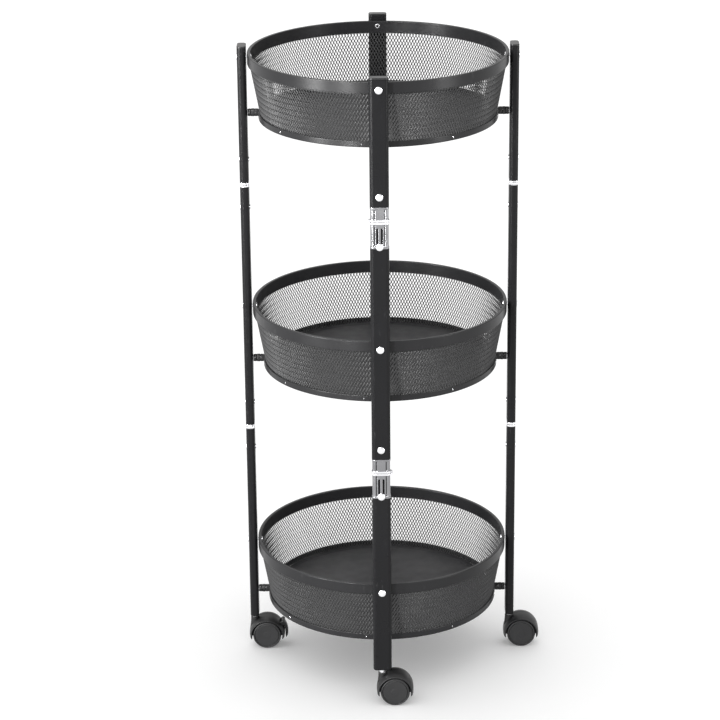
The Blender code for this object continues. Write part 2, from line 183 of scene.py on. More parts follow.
BRAKED = ("left", "back")

# Camera
CAMERA_AT = (CART_X - 0.00602, -3.07139, 1.49185)
CAMERA_TURN = (math.radians(0.3366), math.radians(69.9807), math.radians(-0.5757))
CAMERA_LENS = 137.155

# Studio: each lamp's place, the height that it aims at, its size and its power
LAMPS = {
    "left softbox": ((-2.0, -1.4, 1.0), 0.4, (0.55, 2.0), 125),
    "left strip": ((-0.75, -1.5, 0.8), 0.3, (0.1, 1.6), 34),
    "top softbox": ((-0.7, -0.9, 2.5), 0.5, (0.5, 0.5), 30),
    "right softbox": ((2.1, -1.3, 1.0), 0.4, (0.5, 2.0), 40),
}
SKY_LIGHT = 0.92
SKY_SEEN = 1.1                      # the sky's strength as the camera sees it
SUN_POWER, SUN_WIDE, SUN_LEAN = 0.7, math.radians(100), math.radians(-30)
GROUND_HALF = 25.0
GROUND_TONE, GROUND_GLOW = 0.9, 0.15
# colour of the painted shade in cuts
CUT_SHADE = (0.012, 0.012, 0.013, 1.0)
DUST_TONE = (0.32, 0.31, 0.3, 1.0)
WHITE = (1.0, 1.0, 1.0, 1.0)


# ---------------------------------------------------------------- shapes

def outward(points, quads, tris):
    """Turns a closed skin right side out: the sum of a . (b x c) over its faces, six
    times the volume they close, is made positive."""
    faces = np.vstack([quads[:, [0, 1, 2]], quads[:, [0, 2, 3]], tris])
    a, b, c = ((points[faces[:, k]] - points.mean(axis=0))[:, :3] for k in range(3))
    if np.einsum("ij,ij->", a, np.cross(b, c)) < 0:
        quads, tris = quads[:, ::-1], tris[:, ::-1]
    return points, quads, tris


def skin(grid, ring=False):
    """Closed skin over points grid[i, j]. Columns run round and close up; rows close up
    too for a ring, and otherwise each end row is closed by a fan about its middle."""
    rows, cols = grid.shape[:2]
    ids = np.arange(rows * cols).reshape(rows, cols)
    beside = np.roll(ids, -1, axis=1)
    points = grid.reshape(-1, grid.shape[2])
    if ring:
        quads = np.stack([ids, beside, np.roll(beside, -1, 0), np.roll(ids, -1, 0)], -1)
        return outward(points, quads.reshape(-1, 4), np.empty((0, 3), int))
    quads = np.stack([ids[:-1], beside[:-1], beside[1:], ids[1:]], -1)
    middles = np.full(cols, len(points))
    tris = np.vstack([np.stack([beside[0], ids[0], middles], -1),
                      np.stack([ids[-1], beside[-1], middles + 1], -1)])
    points = np.vstack([points, grid[[0, -1]].mean(axis=1)])
    return outward(points, quads.reshape(-1, 4), tris)


def together(shapes):
    """Several skins as one: each one's face numbers go up by the points before it."""
    starts = np.cumsum([0] + [len(s[0]) for s in shapes])
    return (np.vstack([s[0] for s in shapes]),
            np.vstack([s[1] + k for s, k in zip(shapes, starts)]),
            np.vstack([s[2] + k for s, k in zip(shapes, starts)]))


def carried(shape, *steps):
    """Every point p goes to M p + t, for each 4 x 4 matrix in turn."""
    points = shape[0]
    for step in steps:
        matrix = np.array(step)
        moved = points[:, :3] @ matrix[:3, :3].T + matrix[:3, 3]
        points = np.hstack([moved, points[:, 3:]])
    return points, shape[1], shape[2]


def eased(corners, radii, closed=True, steps=5, hold=0.35):
    """A polyline with round corners: corner P becomes (1-t)^2 A + 2 t (1-t) P + t^2 C,
    where A and C lie on its two sides at its radius, with one more point beyond each
    so that the flat sides stay flat."""
    p = np.array(corners, float)
    r = np.array(np.broadcast_to(radii, len(p)), float)[:, None]
    if not closed:
        r[[0, -1]] = 0.0
    back, ahead = np.roll(p, 1, 0) - p, np.roll(p, -1, 0) - p
    back /= np.linalg.norm(back, axis=1, keepdims=True)
    ahead /= np.linalg.norm(ahead, axis=1, keepdims=True)
    t = np.linspace(0, 1, steps + 1)[:, None, None]
    a, c = p + back * r, p + ahead * r
    curve = (1 - t) ** 2 * a + 2 * t * (1 - t) * p + t ** 2 * c
    line = np.concatenate([(a + back * r * hold)[None], curve, (c + ahead * r * hold)[None]])
    line = line.transpose(1, 0, 2).reshape(-1, p.shape[1])
    keep = np.linalg.norm(line - np.roll(line, 1, 0), axis=1) > 1e-7
    keep[0] = keep[0] or not closed
    return line[keep]


def lathe(profile, steps=64, ring=False):
    """Turns (radius, height) points about Z: (r cos a, r sin a, z). A ring's profile is
    closed; any other starts and ends next to the axis."""
    a = np.arange(steps) * 2 * math.pi / steps
    r, z = profile[:, :1], profile[:, 1:]
    return skin(np.stack([r * np.cos(a), r * np.sin(a), z + 0 * a], -1), ring)


def section(size, inset, steps=7, hold=0.5 * MM, front=0):
    """Round-cornered outlines of a tube, one for each inset: corner middle plus
    (corner - inset) (cos a, sin a) over four quarters, with a point a little way along
    each flat side, and `front` more points across the side that faces +X."""
    deep, wide, corner = size
    a = np.linspace(0, math.pi / 2, steps + 1)
    a = (a + np.arange(4)[:, None] * math.pi / 2)
    mid = np.sign(np.stack([np.cos(a[:, steps // 2]), np.sin(a[:, steps // 2])], -1))
    mid = mid * (np.array([deep, wide]) / 2 - corner)
    r = (corner - np.asarray(inset, float))[:, None, None, None]
    turn = np.stack([np.cos(a), np.sin(a)], -1)
    along = np.stack([-np.sin(a), np.cos(a)], -1)
    arcs = mid[:, None] + r * turn
    ends = np.concatenate([arcs[:, :, :1] - hold * along[:, :1], arcs,
                           arcs[:, :, -1:] + hold * along[:, -1:]], axis=2)
    outline = ends.reshape(len(r), -1, 2)
    if front:
        reach = wide / 2 - corner - 2 * hold
        y = np.linspace(-reach, reach, front)
        x = deep / 2 - np.asarray(inset, float)[:, None] + 0 * y
        outline = np.concatenate([outline, np.stack([x, y + 0 * x], -1)], axis=1)
    return outline


def pillar(size, rows, ring=False, front=0, carve=None):
    """A tube's outline carried up through (inset, height) rows; carve(y, z) gives how deep
    the front side is cut at each of its points, which then keep that depth as a mark that
    sets the painted shade in the cuts."""
    inset, z = np.array(rows, float).T
    outline = section(size, inset, front=front)
    heights = np.broadcast_to(z[:, None, None], outline.shape[:2] + (1,))
    grid = np.concatenate([outline, heights], -1)
    if carve is not None:
        x, y, up = grid[..., 0], grid[..., 1], grid[..., 2]
        facing = x > size[0] / 2 - inset[:, None] - 0.02 * MM
        deep = np.where(facing, carve(y, up), 0.0)
        grid[..., 0] = x - deep
        grid = np.concatenate([grid, deep[..., None]], -1)
    return skin(grid, ring)


def rod(radius, low, high, edge=0.2 * MM, steps=24):
    """A round bar about Z with eased ends."""
    return lathe(eased([(ON_AXIS, low), (radius, low), (radius, high), (ON_AXIS, high)], edge,
                       closed=False, steps=3), steps)


def rivet(outer, inner):
    """A rivet along X: a dome h = H cos(a)^0.8 over radius R sin(a), dished at its middle by
    D exp(-(r / R_dish)^2), on a shank that ends in a formed tail with a bore."""
    a = np.linspace(0.06, math.pi / 2, 12)
    dome = np.stack([HEAD_R * np.sin(a), HEAD_HIGH * np.cos(a) ** HEAD_FULL], -1)
    dome[:, 1] -= HEAD_DISH * np.exp(-(dome[:, 0] / HEAD_DISH_R) ** 2)
    dome[:, 1] += outer
    tail = eased([(SHANK_R, inner), (TAIL_R, inner), (TAIL_R * 0.85, inner - TAIL_HIGH),
                  (TAIL_BORE + 0.2 * MM, inner - TAIL_HIGH), (TAIL_BORE, inner + 1.2 * MM),
                  (ON_AXIS, inner + 1.2 * MM)], [0, .3 * MM, .3 * MM, .2 * MM, .2 * MM, 0],
                 closed=False, steps=3)
    under = np.array([(HEAD_R - 0.1 * MM, outer - HEAD_SUNK), (SHANK_R, outer - HEAD_SUNK)])
    return carried(lathe(np.vstack([dome, under, tail]), 32), Matrix.Rotation(math.pi / 2, 4, "Y"))


# ---------------------------------------------------------------- finishes

def group(name, ins, outs):
    """A shader node group with the named inputs (value or vector) and outputs."""
    tree = bpy.data.node_groups.new(name, "ShaderNodeTree")
    for label, default in ins:
        kind = "NodeSocketVector" if default is None else "NodeSocketFloat"
        socket = tree.interface.new_socket(name=label, in_out="INPUT", socket_type=kind)
        if default is not None:
            socket.default_value = default
    for label, kind in outs:
        tree.interface.new_socket(name=label, in_out="OUTPUT", socket_type=kind)
    return tree, tree.nodes.new("NodeGroupInput"), tree.nodes.new("NodeGroupOutput")


def node(tree, kind, links=(), **settings):
    """A node with its settings, and links given as (input, source socket or value)."""
    made = tree.nodes.new(kind)
    for key, value in settings.items():
        setattr(made, key, value)
    for key, source in links:
        socket = made.inputs[key]
        if isinstance(source, (int, float, tuple)):
            socket.default_value = source
        else:
            tree.links.new(source, socket)
    return made


def noise(tree, vector, scale, detail=2.0, rough=0.5):
    """Noise at a vector, from 0 to 1; its scale is a number or another node's socket."""
    made = node(tree, "ShaderNodeTexNoise", [("Vector", vector), ("Detail", detail),
                                             ("Roughness", rough)])
    if isinstance(scale, (int, float)):
        made.inputs["Scale"].default_value = scale
    else:
        tree.links.new(scale, made.inputs["Scale"])
    return made.outputs["Fac"]


def spread(tree, value, low, high, to_low=0.0, to_high=1.0):
    """The value's stretch from low to high, carried smoothly to to_low .. to_high."""
    made = node(tree, "ShaderNodeMapRange", [("Value", value), ("From Min", low),
                                             ("From Max", high), ("To Min", to_low),
                                             ("To Max", to_high)],
                interpolation_type="SMOOTHSTEP")
    return made.outputs["Result"]


def make_grain():
    """Fine and coarse unevenness of a surface, as one height from 0 to 1."""
    tree, given, put = group("surface grain", [("Vector", None), ("Fine", 900.0),
                                               ("Coarse", 200.0), ("Share", 0.35)],
                             [("Height", "NodeSocketFloat")])
    fine = noise(tree, given.outputs["Vector"], given.outputs["Fine"])
    coarse = noise(tree, given.outputs["Vector"], given.outputs["Coarse"], 1.0)
    mix = node(tree, "ShaderNodeMix", [(0, given.outputs["Share"]), (2, fine), (3, coarse)])
    tree.links.new(mix.outputs[0], put.inputs["Height"])
    return tree


def make_scuffs():
    """Sparse fine scratches and rubbed patches, as a mask from 0 to 1."""
    tree, given, put = group("scuffs", [("Vector", None), ("Scale", 60.0), ("Amount", 0.4)],
                             [("Mask", "NodeSocketFloat")])
    stretched = node(tree, "ShaderNodeMapping", [("Vector", given.outputs["Vector"]),
                                                 ("Rotation", (0.3, 0.5, 0.2)),
                                                 ("Scale", (6.0, 1.0, 1.0))])
    lines = noise(tree, stretched.outputs["Vector"], given.outputs["Scale"], 4.0, 0.65)
    patches = noise(tree, given.outputs["Vector"], 25.0, 3.0)
    sharp = spread(tree, lines, 0.6, 0.7)
    wide = spread(tree, patches, 0.45, 0.7)
    both = node(tree, "ShaderNodeMath", [(0, sharp), (1, wide)], operation="MULTIPLY")
    out = node(tree, "ShaderNodeMath", [(0, both.outputs[0]), (1, given.outputs["Amount"])],
               operation="MULTIPLY")
    tree.links.new(out.outputs[0], put.inputs["Mask"])
    return tree


def make_dust():
    """Thin dust on faces that look up: the normal's height times soft patches."""
    tree, given, put = group("dust", [("Vector", None), ("Amount", 0.1)],
                             [("Mask", "NodeSocketFloat")])
    facing = node(tree, "ShaderNodeNewGeometry")
    up = node(tree, "ShaderNodeSeparateXYZ", [(0, facing.outputs["Normal"])])
    level = spread(tree, up.outputs["Z"], 0.3, 1.0)
    cloud = spread(tree, noise(tree, given.outputs["Vector"], 18.0, 5.0, 0.6), 0.35, 0.75)
    both = node(tree, "ShaderNodeMath", [(0, level), (1, cloud)], operation="MULTIPLY")
    out = node(tree, "ShaderNodeMath", [(0, both.outputs[0]), (1, given.outputs["Amount"])],
               operation="MULTIPLY")
    tree.links.new(out.outputs[0], put.inputs["Mask"])
    return tree


GRAIN, SCUFFS, DUST = make_grain(), make_scuffs(), make_dust()


def finish(name, base, worn, rough, fine, coarse, share, bump, depth,
           scuffed=0.3, dusty=0.1, metallic=0.0, specular=0.5, blotch=0.12, shaded_cuts=False):
    """A finish: base colour, uneven by `blotch`, rubbed towards `worn` and dusted where it
    faces up, with a roughness that wanders from rough[0] to rough[1] and a bump `depth`
    metres high. Painted shade can darken it in its cuts, by the mesh's own "cut" attribute."""
    made = bpy.data.materials.new(name)
    made.use_nodes = True
    tree = made.node_tree
    shader = tree.nodes["Principled BSDF"]
    at = node(tree, "ShaderNodeTexCoord").outputs["Object"]
    grain = node(tree, "ShaderNodeGroup", node_tree=GRAIN)
    scuff = node(tree, "ShaderNodeGroup", node_tree=SCUFFS)
    dust = node(tree, "ShaderNodeGroup", node_tree=DUST)
    for inner in (grain, scuff, dust):
        tree.links.new(at, inner.inputs["Vector"])
    for key, value in (("Fine", fine), ("Coarse", coarse), ("Share", share)):
        grain.inputs[key].default_value = value
    scuff.inputs["Amount"].default_value = scuffed
    dust.inputs["Amount"].default_value = dusty
    clouds = noise(tree, at, 9.0, 4.0, 0.55)
    tone = spread(tree, clouds, 0.3, 0.7, 1.0 - blotch, 1.0 + blotch)
    toned = node(tree, "ShaderNodeMix", [(0, 1.0), (6, (*base, 1.0)), (7, tone)],
                 data_type="RGBA", blend_type="MULTIPLY")
    rubbed = node(tree, "ShaderNodeMix", [(0, scuff.outputs["Mask"]), (6, toned.outputs[2]),
                                          (7, (*worn, 1.0))], data_type="RGBA")
    dusted = node(tree, "ShaderNodeMix", [(0, dust.outputs["Mask"]), (6, rubbed.outputs[2]),
                                          (7, DUST_TONE)], data_type="RGBA")
    shade = dusted.outputs[2]
    # painted shade: the colour goes dark where the surface is cut in, standing for the shade in
    # its grooves and slot
    if shaded_cuts:
        cut = node(tree, "ShaderNodeAttribute", attribute_name="cut").outputs["Fac"]
        dark = spread(tree, cut, 0.25, 0.9)
        shade = node(tree, "ShaderNodeMix", [(0, dark), (6, shade), (7, CUT_SHADE)],
                     data_type="RGBA").outputs[2]
    tree.links.new(shade, shader.inputs["Base Color"])
    wander = spread(tree, noise(tree, at, 55.0, 3.0), 0.3, 0.7, *rough)
    rougher = node(tree, "ShaderNodeMath", [(0, wander), (1, dust.outputs["Mask"])],
                   operation="ADD")
    tree.links.new(rougher.outputs[0], shader.inputs["Roughness"])
    raised = node(tree, "ShaderNodeBump", [("Height", grain.outputs["Height"]), ("Strength", bump),
                                           ("Distance", depth)])
    tree.links.new(raised.outputs["Normal"], shader.inputs["Normal"])
    shader.inputs["Metallic"].default_value = metallic
    shader.inputs["Specular IOR Level"].default_value = specular
    return made


FINISHES = {
    "satin black coat": (finish("satin black coat", (0.006, 0.006, 0.0065), (0.05, 0.05, 0.052),
                                (0.26, 0.32), 1400.0, 420.0, 0.55, 0.35, 0.05 * MM,
                                specular=0.12, dusty=0.02, blotch=0.08), "powder_coat"),
    "rim coat": (finish("rim coat", (0.008, 0.008, 0.0086), (0.05, 0.05, 0.052),
                        (0.30, 0.34), 1400.0, 420.0, 0.55, 0.30, 0.04 * MM,
                        specular=0.24, dusty=0.02, blotch=0.06), "powder_coat"),
    "coated mesh": (finish("coated mesh", (0.026, 0.026, 0.0265), (0.07, 0.07, 0.072),
                           (0.36, 0.44), 2200.0, 900.0, 0.4, 0.3, 0.03 * MM,
                           specular=0.26, dusty=0.02, blotch=0.06), "powder_coat"),
    "coated floor": (finish("coated floor", (0.014, 0.014, 0.015), (0.05, 0.05, 0.052),
                            (0.40, 0.52), 1300.0, 380.0, 0.5, 0.4, 0.06 * MM,
                            specular=0.42, dusty=0.04, blotch=0.1), "powder_coat"),
    "moulded black": (finish("moulded black", (0.006, 0.006, 0.0064), (0.06, 0.06, 0.06),
                             (0.34, 0.46), 1900.0, 600.0, 0.3, 0.35, 0.04 * MM,
                             specular=0.30, dusty=0.02), "black_plastic"),
    "wheel black": (finish("wheel black", (0.010, 0.010, 0.0104), (0.08, 0.08, 0.08),
                           (0.44, 0.56), 1700.0, 500.0, 0.3, 0.4, 0.04 * MM,
                           scuffed=0.5, dusty=0.04, specular=0.3), "black_plastic"),
    "cap black": (finish("cap black", (0.009, 0.009, 0.0095), (0.06, 0.06, 0.06),
                         (0.22, 0.32), 1700.0, 500.0, 0.3, 0.3, 0.03 * MM,
                         dusty=0.10, specular=0.3), "black_plastic"),
    # painted shade: the sleeve's plating has a dark base colour standing in for the dark
    # surroundings its face reflects; the same plating elsewhere is bright
    "plating with painted shade": (finish("plating with painted shade", (0.29, 0.29, 0.30), (0.55, 0.55, 0.58),
                             (0.16, 0.30), 1500.0, 260.0, 0.7, 0.15, 0.03 * MM, metallic=1.0,
                             scuffed=0.4, dusty=0.03, blotch=0.08, shaded_cuts=True), "plating"),
    "bright plating": (finish("bright plating", (0.86, 0.86, 0.88), (0.62, 0.62, 0.65),
                              (0.14, 0.30), 1500.0, 260.0, 0.7, 0.15, 0.03 * MM,
                              metallic=1.0, scuffed=0.4, dusty=0.04, blotch=0.05), "plating"),
}


def piece(name, shape, look, body, stands_for=(), crease=40):
    """Puts a shape in the cart's frame as a piece that rides on a body."""
    points, quads, tris = shape
    mesh = bpy.data.meshes.new(name)
    mesh.vertices.add(len(points))
    mesh.vertices.foreach_set("co", points[:, :3].astype(np.float32).ravel())
    # keep each point's depth of cut, which sets the painted shade in the cuts
    if points.shape[1] > 3:
        cut = mesh.attributes.new("cut", "FLOAT", "POINT")
        cut.data.foreach_set("value", (points[:, 3] / CUT_DEEP).astype(np.float32))
    corners = np.concatenate([quads.ravel(), tris.ravel()]).astype(np.int32)
    mesh.loops.add(len(corners))
    mesh.loops.foreach_set("vertex_index", corners)
    starts = np.concatenate([np.arange(len(quads)) * 4, len(quads) * 4 + np.arange(len(tris)) * 3])
    mesh.polygons.add(len(starts))
    mesh.polygons.foreach_set("loop_start", starts.astype(np.int32))
    mesh.update(calc_edges=True)
    mesh.validate()
    mesh.polygons.foreach_set("use_smooth", np.ones(len(mesh.polygons), bool))
    mesh.set_sharp_from_angle(angle=math.radians(crease))
    material, slot = FINISHES[look]
    mesh.materials.append(material)
    made = bpy.data.objects.new(name, mesh)
    bpy.context.scene.collection.objects.link(made)
    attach(made, body)
    if stands_for:
        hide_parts(*stands_for)
    return made


def at_post(post, out, height):
    """From a piece's own frame, with +X outwards, to its place by a post."""
    return (Matrix.Translation((CART_X, 0.0, 0.0))
            @ Matrix.Rotation(math.radians(POSTS[post]), 4, "Z")
            @ Matrix.Translation((out, 0.0, height)))


# ---------------------------------------------------------------- baskets

def wall_line(top):
    """Radius and height up the middle of a wall against the way s along it, from 0 at the
    floor: straight up inside the base ring, then straight out to the rim."""
    low = top - BASKET_HEIGHT
    r = np.array([BASE_R - BASE_THICK - GAP, BASE_R - BASE_THICK - GAP, RIM_R - RIM_THICK - GAP])
    z = np.array([low + WALL_LOW, low + BASE_BAND, top - RIM_BAND / 2 - WALL_TOP])
    s = np.concatenate([[0.0], np.cumsum(np.hypot(np.diff(r), np.diff(z)))])
    return s, r - WALL_MID, z


def mesh_wall(top):
    """Expanded mesh: two families of strands that run up the wall at slopes of one
    diamond's height to half its width, angle = start +- pi s / (count x height). Each
    strand rises over one crossing and sinks under the next by lift cos(2 pi s / height),
    is widest at the crossings, and has its flat turned so that it faces up and to its side."""
    line_s, line_r, line_z = wall_line(top)
    long = line_s[-1]
    crossings = int(round(2 * long / MESH_HIGH))
    s = np.linspace(0.0, long, 2 * crossings + 1)
    r, z = np.interp(s, line_s, line_r), np.interp(s, line_s, line_z)
    dr, dz = np.gradient(r, s), np.gradient(z, s)
    phase = math.pi * s * crossings / long
    start = np.arange(MESH_ROUND) * 2 * math.pi / MESH_ROUND
    strands = []
    for way in (1, -1):
        turn = way * s / long * crossings * math.pi / MESH_ROUND
        a = start[:, None] + turn
        out = np.stack([np.cos(a), np.sin(a), 0 * a], -1)
        side = np.stack([-np.sin(a), np.cos(a), 0 * a], -1)
        face = out * dz[None, :, None] - np.array([0, 0, 1.0]) * dr[None, :, None]
        rise = out * dr[None, :, None] + np.array([0, 0, 1.0]) * dz[None, :, None]
        swing = (r * way * crossings * math.pi / MESH_ROUND / long)[None, :, None]
        run = rise + side * swing
        run /= np.linalg.norm(run, axis=-1, keepdims=True)
        across = np.cross(face, run)
        lift = way * STRAND_LIFT * np.cos(phase)[None, :, None]
        centre = out * r[None, :, None] + np.array([0, 0, 1.0]) * z[None, :, None] + face * lift
        half = STRAND_HALF * (1 + STRAND_SWELL * np.cos(2 * phase))[None, :, None]
        flat = across * math.cos(STRAND_TILT) - way * face * math.sin(STRAND_TILT)
        proud = face * math.cos(STRAND_TILT) + way * across * math.sin(STRAND_TILT)
        corners = [centre + flat * half * u + proud * STRAND_THICK * v
                   for u, v in ((1, 1), (-1, 1), (-1, -1), (1, -1))]
        strands.append(np.stack(corners, axis=2))
    grid = np.concatenate(strands)
    count, rows = grid.shape[:2]
    ids = np.arange(rows * 4).reshape(rows, 4)
    beside = np.roll(ids, -1, axis=1)
    one = np.stack([ids[:-1], ids[1:], beside[1:], beside[:-1]], -1).reshape(-1, 4)
    ends = np.stack([ids[0], ids[-1][::-1]])
    faces = np.vstack([one, ends])
    quads = (faces[None] + (np.arange(count) * rows * 4)[:, None, None]).reshape(-1, 4)
    return outward(grid.reshape(-1, 3), quads, np.empty((0, 3), int))


def rim_band(top):
    """The rim: a flat band folded over at the top into a longer hem inside, with the wall
    between the two, turned about the cart's axis."""
    low, leg = top - RIM_BAND, RIM_SHEET
    corners = [(RIM_R - leg, low), (RIM_R, low), (RIM_R, top), (RIM_HEM, top),
               (RIM_HEM, low - HEM_DROP), (RIM_HEM + leg, low - HEM_DROP),
               (RIM_HEM + leg, top - RIM_FOLD), (RIM_R - leg, top - RIM_FOLD)]
    radii = [0.25 * MM, 0.35 * MM, 0.8 * MM, 0.9 * MM] + [0.3 * MM] * 4
    return lathe(eased(corners, radii, steps=6), RING_STEPS, ring=True)


def base_band(top):
    """The ring round a floor's edge: a flat band with its edges eased, turned about the
    cart's axis."""
    low, inner = top - BASKET_HEIGHT, BASE_R - BASE_THICK
    high = low + BASE_BAND
    return lathe(eased([(inner, low), (BASE_R, low), (BASE_R, high), (inner, high)],
                       [0.3 * MM, 0.6 * MM, 0.6 * MM, 0.3 * MM]), RING_STEPS, ring=True)


def floor_plate(top):
    """A thin plate with a shallow pressed step just inside its edge."""
    low, high = top - BASKET_HEIGHT + GAP, top - BASKET_HEIGHT + FLOOR_TOP
    step, drop = FLOOR_R - FLOOR_EDGE, FLOOR_STEP
    line = eased([(1 * MM, high - drop), (step - 1.2 * MM, high - drop), (step, high),
                  (FLOOR_R, high), (FLOOR_R, low), (1 * MM, low)],
                 [0, 0.5 * MM, 0.5 * MM, 0.3 * MM, 0.2 * MM, 0], closed=False)
    return lathe(line, RING_STEPS)


def pip():
    """A small pressed pip that clinches the base ring to the plate inside it: a dome, rise
    cos(t) over the oval (half width sin(t) cos(a), half height sin(t) sin(a))."""
    t = np.linspace(0.1, math.pi / 2, 6)[:, None]
    a = np.arange(20) * 2 * math.pi / 20
    x = BASE_R - PIP_SUNK + PIP_RISE * np.cos(t) + 0 * a
    top = np.stack([x, PIP_WIDE * np.sin(t) * np.cos(a), PIP_TALL * np.sin(t) * np.sin(a)], -1)
    return skin(np.concatenate([top, top[-1:] - np.array([0.5 * MM, 0, 0])]))


def standoff(top):
    """A barrel between the base ring and a post: radius R + swell sin(pi t) along t from 0
    to 1, less depth exp(-((t - place) / width)^2) at each of its two grooves."""
    start, stop = BASE_R - 0.4 * MM, POST_R - TUBE[0] / 2 - 2 * GAP
    t = np.linspace(0, 1, 41)
    r = STANDOFF_R + STANDOFF_SWELL * np.sin(math.pi * t)
    r -= sum(GROOVE_DEEP * np.exp(-((t - place) / GROOVE_WIDE) ** 2) for place in STANDOFF_GROOVES)
    r[[0, -1]] -= 0.5 * MM
    line = np.vstack([(ON_AXIS, start), np.stack([r, start + (stop - start) * t], -1),
                      (ON_AXIS, stop)])
    return carried(lathe(line, 40), Matrix.Rotation(math.pi / 2, 4, "Y"),
                   Matrix.Translation((0.0, 0.0, top - BASKET_HEIGHT + STANDOFF_UP)))


def washer(top):
    """The pale washer between a stand-off and its post: a flat disc with eased edges."""
    stop = POST_R - TUBE[0] / 2 - 0.5 * GAP
    start = stop - WASHER_THICK
    disc = lathe(eased([(ON_AXIS, start), (WASHER_R, start), (WASHER_R, stop), (ON_AXIS, stop)],
                       0.15 * MM, closed=False), 32)
    return carried(disc, Matrix.Rotation(math.pi / 2, 4, "Y"),
                   Matrix.Translation((0.0, 0.0, top - BASKET_HEIGHT + STANDOFF_UP)))


def build_baskets():
    """Makes each tier's pieces, which ride on that tier's basket."""
    cart = Matrix.Translation((CART_X, 0.0, 0.0))
    for tier in TIERS:
        top, body = RIM_TOP[tier], f"{tier}_basket"
        pin = top - RIM_BAND / 2
        piece(f"{tier}_rim_band", carried(rim_band(top), cart), "rim coat", body,
              [f"{tier}_rim"])
        rivets = rivet(POST_R + TUBE[0] / 2 + GAP, RIM_HEM - 0.05 * MM)
        piece(f"{tier}_rim_rivets", together([carried(rivets, at_post(post, 0.0, pin))
                                              for post in POSTS]), "bright plating", body)
        piece(f"{tier}_wall_mesh", carried(mesh_wall(top), cart), "coated mesh", body,
              [f"{tier}_mesh_wall"])
        piece(f"{tier}_base_band", carried(base_band(top), cart), "rim coat", body,
              [f"{tier}_base_ring"])
        piece(f"{tier}_standoffs", together([carried(standoff(top), at_post(post, 0.0, 0.0))
                                             for post in POSTS]), "cap black", body)
        piece(f"{tier}_standoff_washers", together([carried(washer(top), at_post(post, 0.0, 0.0))
                                                    for post in POSTS]), "bright plating", body)
        piece(f"{tier}_ring_pips", together([
            carried(pip(), Matrix.Rotation(PIP_START + k * PIP_STEP, 4, "Z"), cart,
                    Matrix.Translation((0.0, 0.0, top - BASKET_HEIGHT + BASE_BAND / 2)))
            for k in range(PIP_COUNT)]),
              "bright plating", body)
        piece(f"{tier}_floor_plate", carried(floor_plate(top), cart), "coated floor", body,
              [f"{tier}_floor"])


# ---------------------------------------------------------------- posts

def hollow(low, high, low_round=TUBE_END):
    """A tube's wall: out along the outer face, over the end, and back down the bore."""
    rows = eased([(0.0, low), (0.0, high), (TUBE_WALL, high), (TUBE_WALL, low)],
                 [low_round, TUBE_END, TUBE_END, TUBE_END * 0.6], steps=4)
    return pillar(TUBE, rows, ring=True)


def plated_face(y, z, bare, slotted):
    """How deep a fitting's outer face is cut: two long grooves, depth exp(-((|y| - place) /
    half)^2), and on the longer fitting a slot less the bead exp(-(y / half)^6) along its
    middle, between smooth steps."""
    def step(value, edge):
        """A smooth step from 0 to 1 at value 0: 1 / (1 + exp(-value / edge))."""
        return 1 / (1 + np.exp(-value / edge))

    sharp = 0.12 * MM
    low, high = LIP_HIGH + 0.4 * MM, bare - SHOULDER - GAP
    within = step(z - low, sharp) * step(high - z, sharp)
    groove = CUT_DEEP * np.exp(-((np.abs(y) - FACE_GROOVE) / FACE_GROOVE_HALF) ** 2)
    if not slotted:
        return within * groove
    arch = SLOT_LOW - 0.45 * np.sqrt(np.maximum(0.0, SLOT_ROUND ** 2 - y ** 2))
    slot = step(SLOT_HALF - np.abs(y), sharp) * step(z - arch, 0.15 * MM)
    slot = slot * step(SLOT_HIGH - z, 0.15 * MM)
    bead = np.exp(-(y / BEAD_HALF) ** 6)
    return within * groove + slot * SLOT_DEEP * (1 - BEAD_SHARE * bead)


